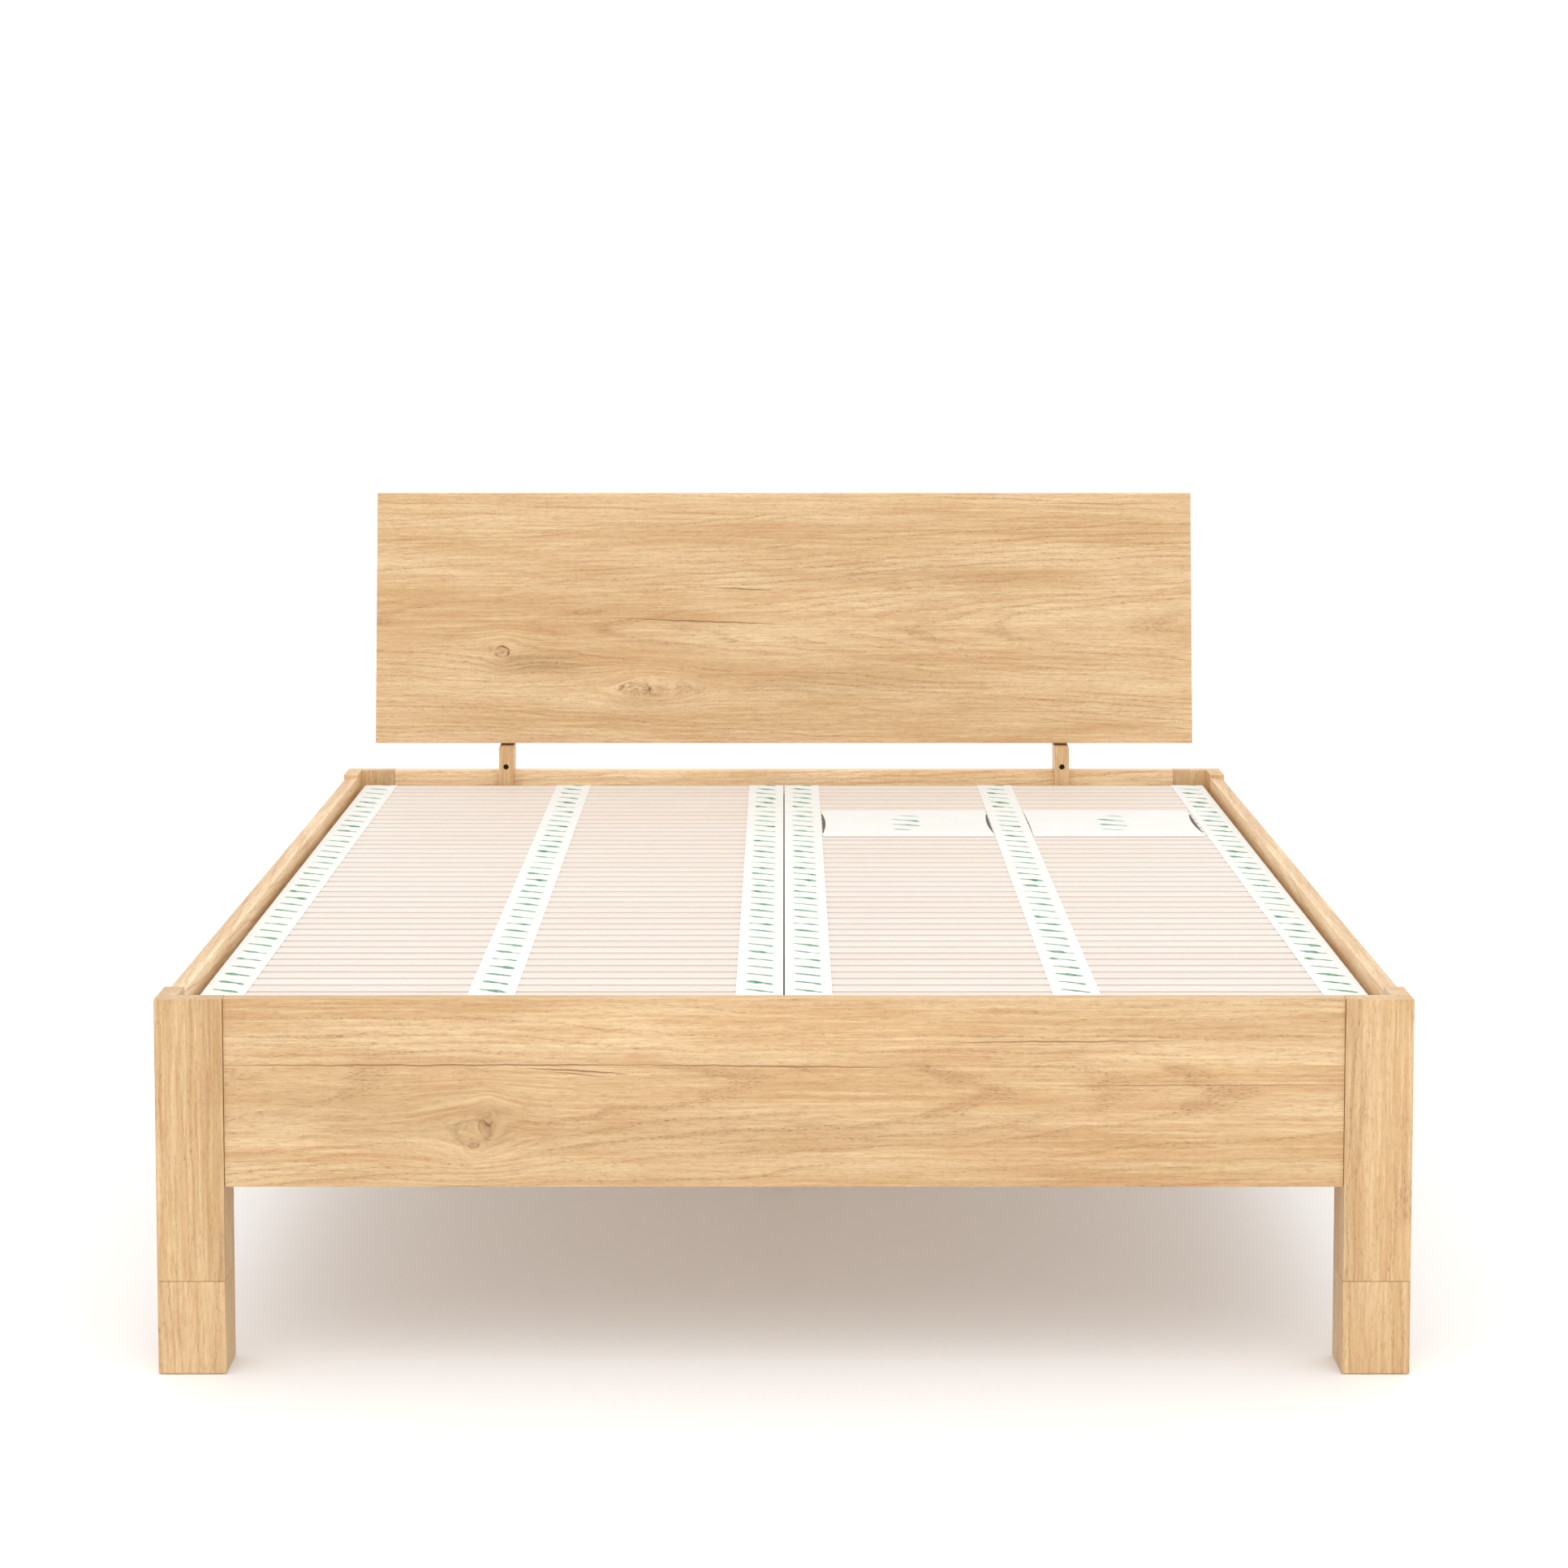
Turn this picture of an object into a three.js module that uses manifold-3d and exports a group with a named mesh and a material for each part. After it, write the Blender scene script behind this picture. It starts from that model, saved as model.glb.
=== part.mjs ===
// A double bed frame in solid oak with two slat mats and a leaning headboard.
// Millimetres: X across the bed, Y from the foot end to the head end, Z up from the floor.

import * as THREE from "three";
import { mergeVertices } from "three/addons/utils/BufferGeometryUtils.js";
import { RoundedBoxGeometry } from "three/addons/geometries/RoundedBoxGeometry.js";
import Module from "manifold-3d";

// ---- Overall sizes ----
const frameWidth = 1664; // over the posts
const frameLength = 2064; // over the posts
const postTop = 506; // above the floor

// ---- Clearances ----
const fitGap = 0.3; // between faces that touch
const holeClearance = 0.3; // round a shank, on the radius
const edgeEase = 1; // rounding of the wood's edges

// ---- Corner posts and feet ----
const postWidth = 90; // along X
const postDepth = 82; // along Y
const postWall = 27; // left beside the notch for the mats
const footBlockHeight = 126; // floor to the joint under the post
const glideRadius = 20;
const glideThickness = 4;
const glideProud = 1; // stands out below the wood
const dowelScrewRadius = 5;
const dowelScrewGrip = 60; // into the post and into the block

// ---- Boards and rails ----
const railThickness = 23;
const railHeight = 253;
const sideRailDrop = 6; // side rails lie this far below the post tops

// ---- Corner angles and their bolts ----
const angleLeg = 50;
const angleHeight = 100;
const angleSteel = 3;
const angleBelowLedger = 15;
const angleBoltRadius = 4;
const angleBoltGrip = 50;
const angleBoltSetOut = 32; // from the angle's inner corner to the bolt
const angleBoltStagger = 20; // board bolts lie above the angle's middle, rail bolts below it
const hexHeadRadius = 7.5;
const hexHeadHeight = 5.3;

// ---- Slat mats ----
const mattressRecess = 24; // post tops above the mats' top
const slatThickness = 20;
const slatWidth = 38;
const slatSpacing = 6;
const tapeWidth = 65;
const tapeThickness = 1;
const tapeSink = 0.5; // tape bonded into the slats' faces
const matSideGap = 9; // slat ends to the side rails
const matCentreGap = 2; // between the two mats
const matFootGap = 7;
const matHeadGap = 5; // at least, to the clamp jaws

// ---- Shoulder covers on the right mat ----
const coverLength = 280;
const coverFromHead = 304; // from the mat's head end
const coverThickness = 1.2;
const coverTapeGap = 1.5;

// ---- Mat supports ----
const ledgerWidth = 25;
const ledgerHeight = 45;
const beamWidth = 70;
const beamHeight = 90;
const hangerSteel = 3;
const hangerReach = 45; // under the beam
const hangerHeight = 60;
const hangerFlange = 25; // beside the pocket
const centreLegSize = 60;

// ---- Headboard ----
const panelSideInset = 54; // panel ends inside the posts' outer faces
const panelHeight = 478;
const panelThickness = 25;
const panelRecline = THREE.MathUtils.degToRad(8.2);
const panelAboveRail = 52; // lower front edge above the head rail
const panelSetBack = 3; // lower front edge behind the rail's inner face
const uprightReach = 330; // up the panel's back
const uprightDepth = 26;

// ---- Headboard clamps ----
const clampSpacing = 1056; // between the two clamps' bolts
const clampWidth = 27;
const jawDepth = 20;
const clampReach = 106; // down both sides of the head rail
const clampTopGap = 5; // below the panel's lower front edge
const clampBoltRadius = 3;
const socketHeadRadius = 5;
const socketHeadHeight = 6;
const socketRadius = 2.9;
const socketDepth = 3;
const boltHeadRecess = 6; // head's top below the jaw's face
const clampBoltAboveRail = 9.5;
const clampBoltBelowRail = 66;
const clampBoltEndWall = 8; // wood left behind the bolt's end

// ---- Levels and planes that several pieces share ----
const railBottom = postTop - railHeight;
const matTop = postTop - mattressRecess;
const slatTop = matTop - tapeThickness + tapeSink;
const seatLevel = slatTop - slatThickness - fitGap;
const innerHalfWidth = frameWidth / 2 - postWall;
const footInnerFace = postWall;
const headInnerFace = frameLength - postWall;
const headOuterFace = headInnerFace + railThickness;
const railInset = postWall - railThickness;

const roundSides = 16;
const clampRoundSides = 24; // the clamps' bolts and holes are in sight

// ---- Solids ----
const wasm = await Module();
wasm.setup();

// A closed geometry as a solid that can be joined and cut.
function toSolid(geometry) {
  const bare = geometry.clone();
  bare.deleteAttribute("normal");
  bare.deleteAttribute("uv");
  const merged = mergeVertices(bare, 1e-4);
  return new wasm.Manifold(
    new wasm.Mesh({
      numProp: 3,
      vertProperties: new Float32Array(merged.attributes.position.array),
      triVerts: new Uint32Array(merged.index.array),
    }),
  );
}

function toGeometry(solid) {
  const mesh = solid.getMesh();
  const geometry = new THREE.BufferGeometry();
  geometry.setAttribute("position", new THREE.BufferAttribute(mesh.vertProperties, 3));
  geometry.setIndex(new THREE.BufferAttribute(mesh.triVerts, 1));
  geometry.computeVertexNormals();
  return geometry;
}

// The first geometry with the second list joined on and the third list cut away.
function shaped(base, joins, cuts) {
  let solid = toSolid(base);
  for (const join of joins) solid = solid.add(toSolid(join));
  for (const cut of cuts) solid = solid.subtract(toSolid(cut));
  return toGeometry(solid);
}

function placed(geometry, [x0, x1], [y0, y1], [z0, z1]) {
  return geometry.translate((x0 + x1) / 2, (y0 + y1) / 2, (z0 + z1) / 2);
}

// A sharp box between the given limits.
function box(xs, ys, zs) {
  return placed(new THREE.BoxGeometry(xs[1] - xs[0], ys[1] - ys[0], zs[1] - zs[0]), xs, ys, zs);
}

// A piece of wood with eased edges between the given limits.
function plank(xs, ys, zs) {
  const size = [xs[1] - xs[0], ys[1] - ys[0], zs[1] - zs[0]];
  return placed(new RoundedBoxGeometry(...size, 1, edgeEase), xs, ys, zs);
}

// A round bar about a line along one axis through (a, b), from low to high.
function bar(axis, radius, low, high, a, b, sides = roundSides) {
  const geometry = new THREE.CylinderGeometry(radius, radius, high - low, sides);
  const middle = (low + high) / 2;
  if (axis === "x") return geometry.rotateZ(Math.PI / 2).translate(middle, a, b);
  if (axis === "y") return geometry.translate(a, middle, b);
  return geometry.rotateX(Math.PI / 2).translate(a, b, middle);
}

// The outline of [y, z] points, pushed along X between the given limits.
function sideProfile(points, [x0, x1]) {
  const outline = new THREE.Shape(points.map(([y, z]) => new THREE.Vector2(y, z)));
  const geometry = new THREE.ExtrudeGeometry(outline, { depth: x1 - x0, bevelEnabled: false });
  const turn = new THREE.Matrix4().makeBasis(
    new THREE.Vector3(0, 1, 0),
    new THREE.Vector3(0, 0, 1),
    new THREE.Vector3(1, 0, 0),
  );
  return geometry.applyMatrix4(turn).translate(x0, 0, 0);
}

// ---- Finishes ----
const finish = (color, roughness, metalness) => () =>
  new THREE.MeshStandardMaterial({ color, roughness, metalness });
const oak = finish(0xddb98c, 0.55, 0);
const paleWood = finish(0xf3e6da, 0.6, 0);
const whiteCloth = finish(0xf8f6ef, 0.9, 0);
const zincSteel = finish(0xb8bcc0, 0.4, 0.9);
const blackSteel = finish(0x26241f, 0.5, 0.8);
const greyFelt = finish(0x8d8a84, 0.95, 0);

function piece(group, name, geometry, material) {
  const mesh = new THREE.Mesh(geometry, material());
  mesh.name = name;
  group.add(mesh);
  return mesh;
}

// ---- Corners: the outer corner of the post is the group's origin, X and Y run into the bed ----
const dowelHoleRadius = dowelScrewRadius + holeClearance;
const angleHoleRadius = angleBoltRadius + holeClearance;
const angleTop = seatLevel - ledgerHeight - angleBelowLedger;
const boardBoltHeight = angleTop - angleHeight / 2 + angleBoltStagger;
const railBoltHeight = angleTop - angleHeight / 2 - angleBoltStagger;
const angleSeat = fitGap + angleSteel + fitGap; // post face to the bolt head
const innerCorner = postWall + fitGap; // where an angle's two legs meet
const boltAcross = innerCorner + angleBoltSetOut;
const postMiddle = [postWidth / 2, postDepth / 2];

function cornerPost() {
  const stock = plank([0, postWidth], [0, postDepth], [footBlockHeight + fitGap, postTop]);
  const past = 2 * edgeEase;
  const notchXs = [postWall, postWidth + past];
  const notchYs = [postWall, postDepth + past];
  const notch = box(notchXs, notchYs, [seatLevel, postTop + past]);
  const dowelHole = bar("z", dowelHoleRadius, 0, footBlockHeight + dowelScrewGrip + fitGap, ...postMiddle);
  const boltDepth = angleBoltGrip + fitGap;
  const boardSide = [postWidth - boltDepth, postWidth + past];
  const railSide = [postDepth - boltDepth, postDepth + past];
  const boardHole = bar("x", angleHoleRadius, ...boardSide, boltAcross, boardBoltHeight);
  const railHole = bar("y", angleHoleRadius, ...railSide, boltAcross, railBoltHeight);
  return shaped(stock, [], [notch, dowelHole, boardHole, railHole]);
}

function footBlock(width, depth, height, dowelHole) {
  const stock = plank([0, width], [0, depth], [glideProud, height]);
  const pocketTop = glideThickness + fitGap;
  const pocket = bar("z", glideRadius + fitGap, -pocketTop, pocketTop, width / 2, depth / 2);
  return shaped(stock, [], [pocket, dowelHole]);
}

function glide([x, y]) {
  return bar("z", glideRadius, 0, glideThickness, x, y);
}

function dowelScrew(joint, [x, y]) {
  return bar("z", dowelScrewRadius, joint - dowelScrewGrip, joint + dowelScrewGrip, x, y);
}

// An L of steel with its inner corner towards +X and +Y and a hole in one leg.
function cornerAngle(x, y, hole) {
  const zs = [angleTop - angleHeight, angleTop];
  const alongX = box([x, x + angleLeg], [y, y + angleSteel], zs);
  const alongY = box([x, x + angleSteel], [y, y + angleLeg], zs);
  return shaped(alongX, [alongY], [hole]);
}

// A bolt whose shank runs down the Y axis from the underside of its six-sided head.
function hexBolt() {
  const shank = bar("y", angleBoltRadius, -angleBoltGrip, hexHeadHeight / 2, 0, 0);
  const head = bar("y", hexHeadRadius, 0, hexHeadHeight, 0, 0, 6);
  return shaped(shank, [head], []);
}

function corner(name, x, y, mirrorX, mirrorY) {
  const group = new THREE.Group();
  group.position.set(x, y, 0);
  group.scale.set(mirrorX, mirrorY, 1);
  const blockTop = footBlockHeight;
  const blockHole = bar("z", dowelHoleRadius, blockTop - dowelScrewGrip - fitGap, postTop, ...postMiddle);
  piece(group, name + "_post", cornerPost(), oak);
  piece(group, name + "_foot_block", footBlock(postWidth, postDepth, blockTop, blockHole), oak);
  piece(group, name + "_glide", glide(postMiddle), greyFelt);
  piece(group, name + "_dowel_screw", dowelScrew(blockTop, postMiddle), zincSteel);

  const boardX = postWidth + fitGap;
  const throughBoardLeg = [postWidth, boardX + 2 * angleSteel];
  const boardHole = bar("x", angleHoleRadius, ...throughBoardLeg, boltAcross, boardBoltHeight);
  piece(group, name + "_board_angle", cornerAngle(boardX, innerCorner, boardHole), zincSteel);
  const boardBolt = piece(group, name + "_board_bolt", hexBolt(), zincSteel);
  boardBolt.rotation.z = -Math.PI / 2;
  boardBolt.position.set(postWidth + angleSeat, boltAcross, boardBoltHeight);

  const railY = postDepth + fitGap;
  const throughRailLeg = [postDepth, railY + 2 * angleSteel];
  const railHole = bar("y", angleHoleRadius, ...throughRailLeg, boltAcross, railBoltHeight);
  piece(group, name + "_rail_angle", cornerAngle(innerCorner, railY, railHole), zincSteel);
  const railBolt = piece(group, name + "_rail_bolt", hexBolt(), zincSteel);
  railBolt.position.set(boltAcross, postDepth + angleSeat, railBoltHeight);
  return group;
}

// ---- Boards, rails and what carries the mats ----
const clampBoltUpper = postTop + clampBoltAboveRail;
const clampBoltLower = postTop - clampBoltBelowRail;
const clampHoleRadius = clampBoltRadius + holeClearance;
const headHoleRadius = socketHeadRadius + holeClearance;

function addRails(group) {
  const halfBetweenPosts = frameWidth / 2 - postWidth - fitGap;
  const acrossBed = [-halfBetweenPosts, halfBetweenPosts];
  const fullHeight = [railBottom, postTop];
  piece(group, "foot_board", plank(acrossBed, [railInset, footInnerFace], fullHeight), oak);

  const headStock = plank(acrossBed, [headInnerFace, headOuterFace], fullHeight);
  const throughRail = [headInnerFace - fitGap, headOuterFace + fitGap];
  const holes = [-1, 1].map((side) =>
    bar("y", clampHoleRadius, ...throughRail, (side * clampSpacing) / 2, clampBoltLower, clampRoundSides),
  );
  piece(group, "head_rail", shaped(headStock, [], holes), oak);

  const alongBed = [postDepth + fitGap, frameLength - postDepth - fitGap];
  const sideHeight = [railBottom, postTop - sideRailDrop];
  for (const [name, side] of [["left", -1], ["right", 1]]) {
    const inner = side * innerHalfWidth;
    const outer = side * (innerHalfWidth + railThickness);
    const railXs = [Math.min(inner, outer), Math.max(inner, outer)];
    piece(group, name + "_side_rail", plank(railXs, alongBed, sideHeight), oak);

    const ledgerFace = side * (innerHalfWidth - fitGap);
    const ledgerEdge = side * (innerHalfWidth - fitGap - ledgerWidth);
    const ledgerXs = [Math.min(ledgerFace, ledgerEdge), Math.max(ledgerFace, ledgerEdge)];
    piece(group, name + "_ledger", plank(ledgerXs, alongBed, [seatLevel - ledgerHeight, seatLevel]), oak);
  }
}

// A steel pocket on a flange, open at its top and front. Its back is at y = 0 and its front towards +Y.
function beamHanger() {
  const pocketHalf = beamWidth / 2 + fitGap;
  const cheekHalf = pocketHalf + hangerSteel;
  const floor = seatLevel - beamHeight - fitGap;
  const heights = [floor - hangerSteel, floor - hangerSteel + hangerHeight];
  const flange = box([-cheekHalf - hangerFlange, cheekHalf + hangerFlange], [0, hangerSteel], heights);
  const body = box([-cheekHalf, cheekHalf], [0, hangerReach], heights);
  const pocket = box([-pocketHalf, pocketHalf], [hangerSteel, hangerReach + hangerSteel], [floor, postTop]);
  return shaped(flange, [body], [pocket]);
}

function addCentreSupport(group) {
  const beamEnds = [
    footInnerFace + fitGap + hangerSteel + fitGap,
    headInnerFace - fitGap - hangerSteel - fitGap,
  ];
  const beamBottom = seatLevel - beamHeight;
  const legCentre = [centreLegSize / 2, centreLegSize / 2];
  const beamMiddle = [0, frameLength / 2];
  const dowelHole = bar("z", dowelHoleRadius, 0, beamBottom + dowelScrewGrip + fitGap, ...beamMiddle);
  const beamStock = plank([-beamWidth / 2, beamWidth / 2], beamEnds, [beamBottom, seatLevel]);
  piece(group, "centre_beam", shaped(beamStock, [], [dowelHole]), oak);

  const footHanger = piece(group, "foot_beam_hanger", beamHanger(), zincSteel);
  footHanger.position.y = footInnerFace + fitGap;
  const headHanger = piece(group, "head_beam_hanger", beamHanger(), zincSteel);
  headHanger.rotation.z = Math.PI;
  headHanger.position.y = headInnerFace - fitGap;

  const leg = new THREE.Group();
  leg.position.set(-centreLegSize / 2, frameLength / 2 - centreLegSize / 2, 0);
  const legTop = beamBottom - fitGap;
  const legHole = bar("z", dowelHoleRadius, beamBottom - dowelScrewGrip - fitGap, seatLevel, ...legCentre);
  piece(leg, "centre_leg", footBlock(centreLegSize, centreLegSize, legTop, legHole), oak);
  piece(leg, "centre_leg_glide", glide(legCentre), greyFelt);
  piece(leg, "centre_leg_dowel_screw", dowelScrew(beamBottom, legCentre), zincSteel);
  group.add(leg);
}

// ---- Slat mats ----
const slatPitch = slatWidth + slatSpacing;
const matWidth = innerHalfWidth - matSideGap - matCentreGap / 2;
const matFoot = footInnerFace + matFootGap;
const matRoom = headInnerFace - jawDepth - fitGap - matHeadGap - matFoot;
const slatCount = Math.floor((matRoom + slatSpacing) / slatPitch);
const matLength = slatCount * slatPitch - slatSpacing;

// Slats across, joined by three tapes along: one at each end of the slats and one in the middle.
function slatMat() {
  const slatHeights = [slatTop - slatThickness, slatTop];
  const tapeHeights = [slatTop - tapeSink, matTop];
  const tapeStarts = [0, (matWidth - tapeWidth) / 2, matWidth - tapeWidth];
  const tapes = tapeStarts.map((x) => box([x, x + tapeWidth], [0, matLength], tapeHeights));
  const slats = Array.from({ length: slatCount }, (_, i) => {
    const y = i * slatPitch;
    return box([0, matWidth], [y, y + slatWidth], slatHeights);
  });
  return shaped(tapes[0], [...slats, ...tapes.slice(1)], []);
}

function addMats(group) {
  const left = piece(group, "left_slat_mat", slatMat(), paleWood);
  left.position.set(-matCentreGap / 2 - matWidth, matFoot, 0);
  const right = piece(group, "right_slat_mat", slatMat(), paleWood);
  right.position.set(matCentreGap / 2, matFoot, 0);

  const coverWidth = (matWidth - 3 * tapeWidth) / 2 - 2 * coverTapeGap;
  const coverHead = matFoot + matLength - coverFromHead;
  const coverBase = slatTop + fitGap;
  const innerCoverX = matCentreGap / 2 + tapeWidth + coverTapeGap;
  const outerCoverX = innerCoverX + coverWidth + coverTapeGap + tapeWidth + coverTapeGap;
  for (const [name, x] of [["inner", innerCoverX], ["outer", outerCoverX]]) {
    const heights = [coverBase, coverBase + coverThickness];
    const cover = box([x, x + coverWidth], [coverHead - coverLength, coverHead], heights);
    piece(group, name + "_shoulder_cover", cover, whiteCloth);
  }
}

// ---- Headboard: lower front edge of the panel, and the plane of its back ----
const panelFoot = { y: headInnerFace + panelSetBack, z: postTop + panelAboveRail };
const leanY = Math.sin(panelRecline);
const leanZ = Math.cos(panelRecline);
const clampTop = panelFoot.z - clampTopGap;

// A point in side view: up the panel from its lower edge, and back from its front face.
function onPanel(up, back) {
  return [panelFoot.y + up * leanY + back * leanZ, panelFoot.z + up * leanZ - back * leanY];
}

// The point at height z of the line that lies behind the panel's front face by back.
function behindPanelAt(z, back) {
  const [y0, z0] = onPanel(0, back);
  return [y0 + ((z - z0) * leanY) / leanZ, z];
}

// Rear half of a clamp: a leg behind the head rail, a nose over it, and a stem up the panel's back.
function uprightOutline() {
  const frontPlane = panelThickness + fitGap;
  const backPlane = frontPlane + uprightDepth;
  const legFront = headOuterFace + fitGap;
  const legBottom = postTop - clampReach;
  const kink = behindPanelAt(postTop, backPlane);
  return [
    [legFront, legBottom],
    [kink[0], legBottom],
    kink,
    onPanel(uprightReach, backPlane),
    onPanel(uprightReach, frontPlane),
    behindPanelAt(clampTop, frontPlane),
    [headInnerFace, clampTop],
    [headInnerFace, postTop + fitGap],
    [legFront, postTop + fitGap],
  ];
}

const legBack = behindPanelAt(postTop, panelThickness + fitGap + uprightDepth)[0];
const jawFront = headInnerFace - fitGap - jawDepth;
const boltSeat = jawFront + boltHeadRecess + socketHeadHeight;
const boltEnd = legBack - clampBoltEndWall;
const boltHeights = [["upper", clampBoltUpper], ["lower", clampBoltLower]];

// A bolt whose shank runs up the Y axis from the underside of its round head with a six-sided socket.
function socketBolt() {
  const shank = bar("y", clampBoltRadius, -socketHeadHeight / 2, boltEnd - boltSeat, 0, 0, clampRoundSides);
  const head = bar("y", socketHeadRadius, -socketHeadHeight, 0, 0, 0, clampRoundSides);
  const socket = bar("y", socketRadius, -2 * socketHeadHeight, socketDepth - socketHeadHeight, 0, 0, 6);
  return shaped(shank, [head], [socket]);
}

function addClamp(group, name, x) {
  const width = [x - clampWidth / 2, x + clampWidth / 2];
  const jawStock = plank(width, [jawFront, jawFront + jawDepth], [postTop - clampReach, clampTop]);
  const jawCuts = [];
  const uprightCuts = [];
  for (const [, z] of boltHeights) {
    const beforeJaw = jawFront - jawDepth;
    const shankHole = bar("y", clampHoleRadius, beforeJaw, boltEnd + fitGap, x, z, clampRoundSides);
    const headHole = bar("y", headHoleRadius, beforeJaw, boltSeat + fitGap, x, z, clampRoundSides);
    jawCuts.push(shankHole, headHole);
    uprightCuts.push(shankHole);
  }
  piece(group, name + "_clamp_jaw", shaped(jawStock, [], jawCuts), oak);
  const upright = shaped(sideProfile(uprightOutline(), width), [], uprightCuts);
  piece(group, name + "_headboard_upright", upright, oak);
  for (const [level, z] of boltHeights) {
    const bolt = piece(group, name + "_clamp_bolt_" + level, socketBolt(), blackSteel);
    bolt.position.set(x, boltSeat, z);
  }
}

function addHeadboard(group) {
  const leaning = new THREE.Group();
  leaning.position.set(0, panelFoot.y, panelFoot.z);
  leaning.rotation.x = -panelRecline;
  const halfWidth = frameWidth / 2 - panelSideInset;
  const panel = plank([-halfWidth, halfWidth], [0, panelThickness], [0, panelHeight]);
  piece(leaning, "headboard_panel", panel, oak);
  group.add(leaning);
  addClamp(group, "left", -clampSpacing / 2);
  addClamp(group, "right", clampSpacing / 2);
}

// ---- The bed: built with its foot end at y = 0, then centred over the middle of its floor plan ----
function wholeBed() {
  const bed = new THREE.Group();
  const halfWidth = frameWidth / 2;
  bed.add(corner("foot_left", -halfWidth, 0, 1, 1));
  bed.add(corner("foot_right", halfWidth, 0, -1, 1));
  bed.add(corner("head_left", -halfWidth, frameLength, 1, -1));
  bed.add(corner("head_right", halfWidth, frameLength, -1, -1));
  addRails(bed);
  addCentreSupport(bed);
  addMats(bed);
  addHeadboard(bed);

  const panelBack = onPanel(panelHeight, panelThickness)[0];
  const uprightBack = onPanel(uprightReach, panelThickness + fitGap + uprightDepth)[0];
  bed.position.y = -Math.max(panelBack, uprightBack) / 2;
  return bed;
}

const part = new THREE.Group();
part.add(wholeBed());
export default part;
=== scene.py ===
# The looks of a double bed frame in oiled oak, with two slat mats and a leaning headboard.
# Metres: X across the bed, Y from the foot end to the head end, Z up from the floor.

import math

import bpy
from mathutils import Matrix, Vector


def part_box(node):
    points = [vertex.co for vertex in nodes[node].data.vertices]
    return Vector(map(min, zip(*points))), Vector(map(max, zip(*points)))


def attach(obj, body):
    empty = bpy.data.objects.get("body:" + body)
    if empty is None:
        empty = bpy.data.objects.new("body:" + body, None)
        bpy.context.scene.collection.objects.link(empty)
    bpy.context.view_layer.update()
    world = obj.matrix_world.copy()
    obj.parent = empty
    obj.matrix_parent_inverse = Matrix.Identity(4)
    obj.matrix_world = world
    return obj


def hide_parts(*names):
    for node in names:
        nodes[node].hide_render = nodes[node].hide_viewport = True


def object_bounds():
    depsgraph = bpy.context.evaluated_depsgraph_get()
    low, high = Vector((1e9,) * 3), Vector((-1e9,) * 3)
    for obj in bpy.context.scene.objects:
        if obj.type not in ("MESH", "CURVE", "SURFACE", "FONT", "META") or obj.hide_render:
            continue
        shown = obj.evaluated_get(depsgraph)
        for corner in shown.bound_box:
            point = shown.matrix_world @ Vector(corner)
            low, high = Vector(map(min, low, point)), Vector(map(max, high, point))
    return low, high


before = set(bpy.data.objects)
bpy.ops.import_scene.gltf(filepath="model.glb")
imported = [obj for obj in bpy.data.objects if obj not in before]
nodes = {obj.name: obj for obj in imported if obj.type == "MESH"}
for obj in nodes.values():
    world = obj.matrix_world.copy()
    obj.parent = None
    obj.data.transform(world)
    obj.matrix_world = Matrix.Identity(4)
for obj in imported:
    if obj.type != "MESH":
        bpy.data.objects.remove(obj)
cad_low, cad_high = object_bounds()

CORNERS = ("foot_left", "foot_right", "head_left", "head_right")

# ---- Camera: on the middle line, in front of the foot end ----
CAMERA_REACH = 4.5041  # in front of the foot faces
CAMERA_HEIGHT = 1.4845
CAMERA_LENS_MM = 79.498
CAMERA_PITCH = math.radians(4.5)
CAMERA_SHIFT = -0.1634
CAMERA_SIGHT = 200.0

# ---- Studio ----
STUDIO_WHITE = 1.15
WHITE = (1.0, 1.0, 1.0, 1.0)
FLOOR_SIZE = 80
FLOOR_COLOUR = (0.95, 0.945, 0.94, 1.0)
FLOOR_GLOW = 0.09
GLOW_COLOUR = (1.0, 0.93, 0.87, 1.0)
SOFTBOX_PLACE = (0.0, -7.5, 10.0)
SOFTBOX_SIZE = (12.0, 9.0)
SOFTBOX_AIM = (0.0, 0.0, 0.5)
SOFTBOX_WATTS = 200.0

# ---- Slat mats ----
SLAT_WIDTH = 0.038
SLAT_GAP = 0.006
SLAT_PITCH = SLAT_WIDTH + SLAT_GAP
SLAT_THICKNESS = 0.020
SLAT_EASE = 0.0025
RIGHT_SLAT_SEED = 100.0  # keeps the right mat's slats unlike the left one's
CLOTH_SMOOTH = math.radians(50)  # slats and cloth are shaded smooth over flatter edges than this
TAPE_WIDTH = 0.065
OUTER_TAPE_WIDTH = 0.060
OUTER_TAPE_INSET = 0.0025  # from the slats' ends
TAPE_THICKNESS = 0.0007
TAPE_RISE = 0.0005  # the solid tapes stand this far above the slats
TAPE_SAG = 0.0007  # into the gaps between slats
TAPE_EDGE_DIP = 0.3  # share of the sag at a slat's edges
TAPE_SEED_STEP = 5.3
RIGHT_TAPE_SEED = 17.1
SAME_PLACE = 0.001  # places nearer than this are taken as the same
TAPE_LIFT = 0.0001  # above the slats
TAPE_THREAD = 0.0009
COVER_THREAD = 0.0007
COVER_THICKNESS = 0.0008
COVER_CRACK = 0.006  # how far a cover's ends curl away from the tapes
COVER_CURL_SPAN = 1.7  # of a cover's half length, over which its ends curl
COVER_CURL_POWER = 24  # the higher, the nearer to its very end a cover curls
COVER_EDGE_POWER = 8  # the higher, the steeper the billow falls off at the edges
COVER_LIFT = 0.0006  # a cover lies this far above the slats
COVER_BILLOW = 0.0012
COVER_HEM = 0.009  # from a cover's edge to its hem seam
HEM_BAND = 0.006  # past the seam, where the cloth's points still lie close together
SEAM_WIDTH = 0.003
SEAM_DEPTH = 0.0005
# A dark strip under each cover's end: painted shade in the slit.
SLIT_SHADE_WIDTH = 0.016
SLIT_SHADE_LENGTH = 0.2
SLIT_SHADE_THICKNESS = 0.0002
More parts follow.
